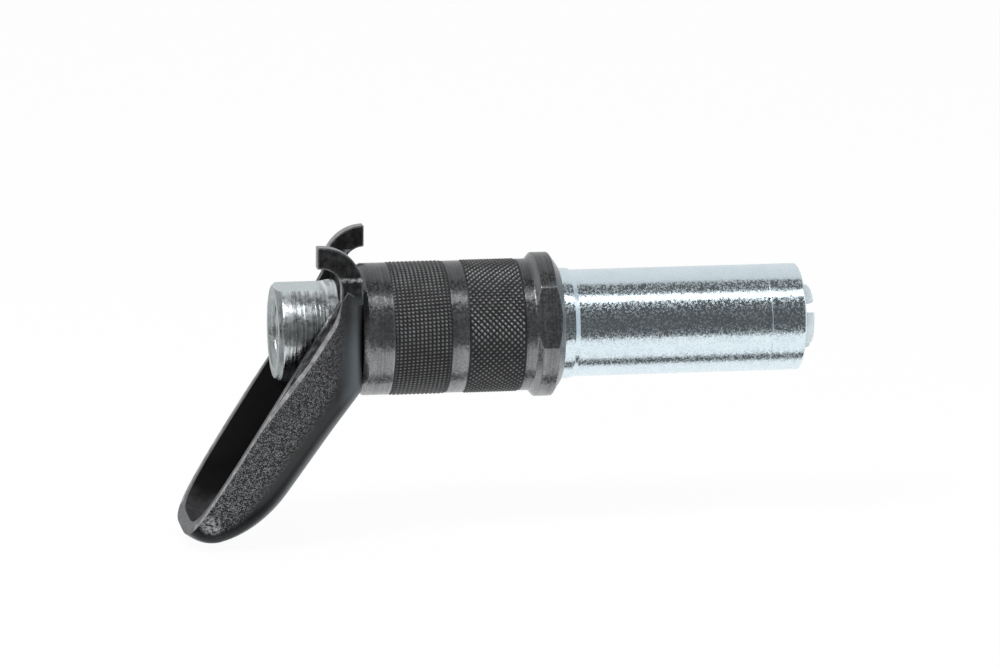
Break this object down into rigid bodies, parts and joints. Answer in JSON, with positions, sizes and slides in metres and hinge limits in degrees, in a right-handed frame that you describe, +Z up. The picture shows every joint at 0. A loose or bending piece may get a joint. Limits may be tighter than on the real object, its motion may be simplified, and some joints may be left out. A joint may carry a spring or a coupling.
{
  "type": "grease coupler",
  "caption": "Locking grease coupler: hose thread, squeeze lever, knurled spring-loaded body and a zinc nose sleeve that closes gripping jaws on a grease nipple.",
  "frame": {"origin": "on the axis, at the first thread of the inlet", "axes": "+X along the axis from the inlet to the jaws, +Z up, away from the lever"},
  "size_m": [0.1052, 0.0246, 0.0505],
  "materials": {
    "zinc_turned": "zinc plate over turned steel",
    "zinc_bright": "bright zinc plate",
    "black_oxide": "satin black oxide",
    "black_coat": "grained black coat",
    "jaw_steel": "hardened and zinc plated",
    "plain_steel": "turned",
    "spring_steel": "drawn wire",
    "brass": "turned",
    "copper": "annealed",
    "rubber": "moulded"
  },
  "bodies": {
    "stem": {"inlet_stem": "zinc_turned", "jaw_carrier": "plain_steel", "sealing_washer": "copper", "valve_seat": "brass", "front_spring_washer": "plain_steel", "main_spring": "spring_steel", "check_spring": "spring_steel", "seal_spring": "spring_steel", "jaw_spreader": "spring_steel"},
    "lever": {"lever": "black_coat"},
    "sleeve": {"knurled_body": "black_oxide", "nose_sleeve": "zinc_bright", "rear_spring_washer": "plain_steel"},
    "jaw_1": {"jaw_1": "jaw_steel"},
    "jaw_2": {"jaw_2": "jaw_steel"},
    "jaw_3": {"jaw_3": "jaw_steel"},
    "jaw_4": {"jaw_4": "jaw_steel"},
    "seal": {"nose_seal": "rubber", "seal_backing": "brass"},
    "ball": {"check_ball": "plain_steel"}
  },
  "joints": [
    {"name": "lever_tilt", "type": "hinge", "parent": "stem", "child": "lever", "pos_m": [0.0103, 0, -0.0075], "axis": [0, 1, 0], "range_deg": [0, 15]},
    {"name": "sleeve_slide", "type": "slide", "parent": "stem", "child": "sleeve", "axis": [1, 0, 0], "range_m": [0, 0.0043], "stiffness_N_per_m": 4500, "springref_m": -0.008, "deforming": ["main_spring"]},
    {"name": "jaw_1_swing", "type": "hinge", "parent": "stem", "child": "jaw_1", "pos_m": [0.0645, -0.00591, -0.00153], "axis": [0, 0.2504, -0.9681], "range_deg": [0, 2.1]},
    {"name": "jaw_2_swing", "type": "hinge", "parent": "stem", "child": "jaw_2", "pos_m": [0.0645, 0.00153, -0.00591], "axis": [0, 0.9681, 0.2504], "range_deg": [0, 2.1]},
    {"name": "jaw_3_swing", "type": "hinge", "parent": "stem", "child": "jaw_3", "pos_m": [0.0645, 0.00591, 0.00153], "axis": [0, -0.2504, 0.9681], "range_deg": [0, 2.1]},
    {"name": "jaw_4_swing", "type": "hinge", "parent": "stem", "child": "jaw_4", "pos_m": [0.0645, -0.00153, 0.00591], "axis": [0, -0.9681, -0.2504], "range_deg": [0, 2.1]},
    {"name": "seal_float", "type": "slide", "parent": "stem", "child": "seal", "axis": [1, 0, 0], "range_m": [-0.0008, 0], "stiffness_N_per_m": 300, "springref_m": 0.002, "deforming": ["seal_spring"]},
    {"name": "check_ball_lift", "type": "slide", "parent": "stem", "child": "ball", "axis": [1, 0, 0], "range_m": [0, 0.001], "stiffness_N_per_m": 40, "springref_m": -0.002, "deforming": ["check_spring"]}
  ],
  "couplings": [
    {"joint": "lever_tilt", "follows": "sleeve_slide", "rad_per_m": 60.6},
    {"joint": "jaw_1_swing", "follows": "sleeve_slide", "rad_per_m": 8.33},
    {"joint": "jaw_2_swing", "follows": "sleeve_slide", "rad_per_m": 8.33},
    {"joint": "jaw_3_swing", "follows": "sleeve_slide", "rad_per_m": 8.33},
    {"joint": "jaw_4_swing", "follows": "sleeve_slide", "rad_per_m": 8.33}
  ]
}
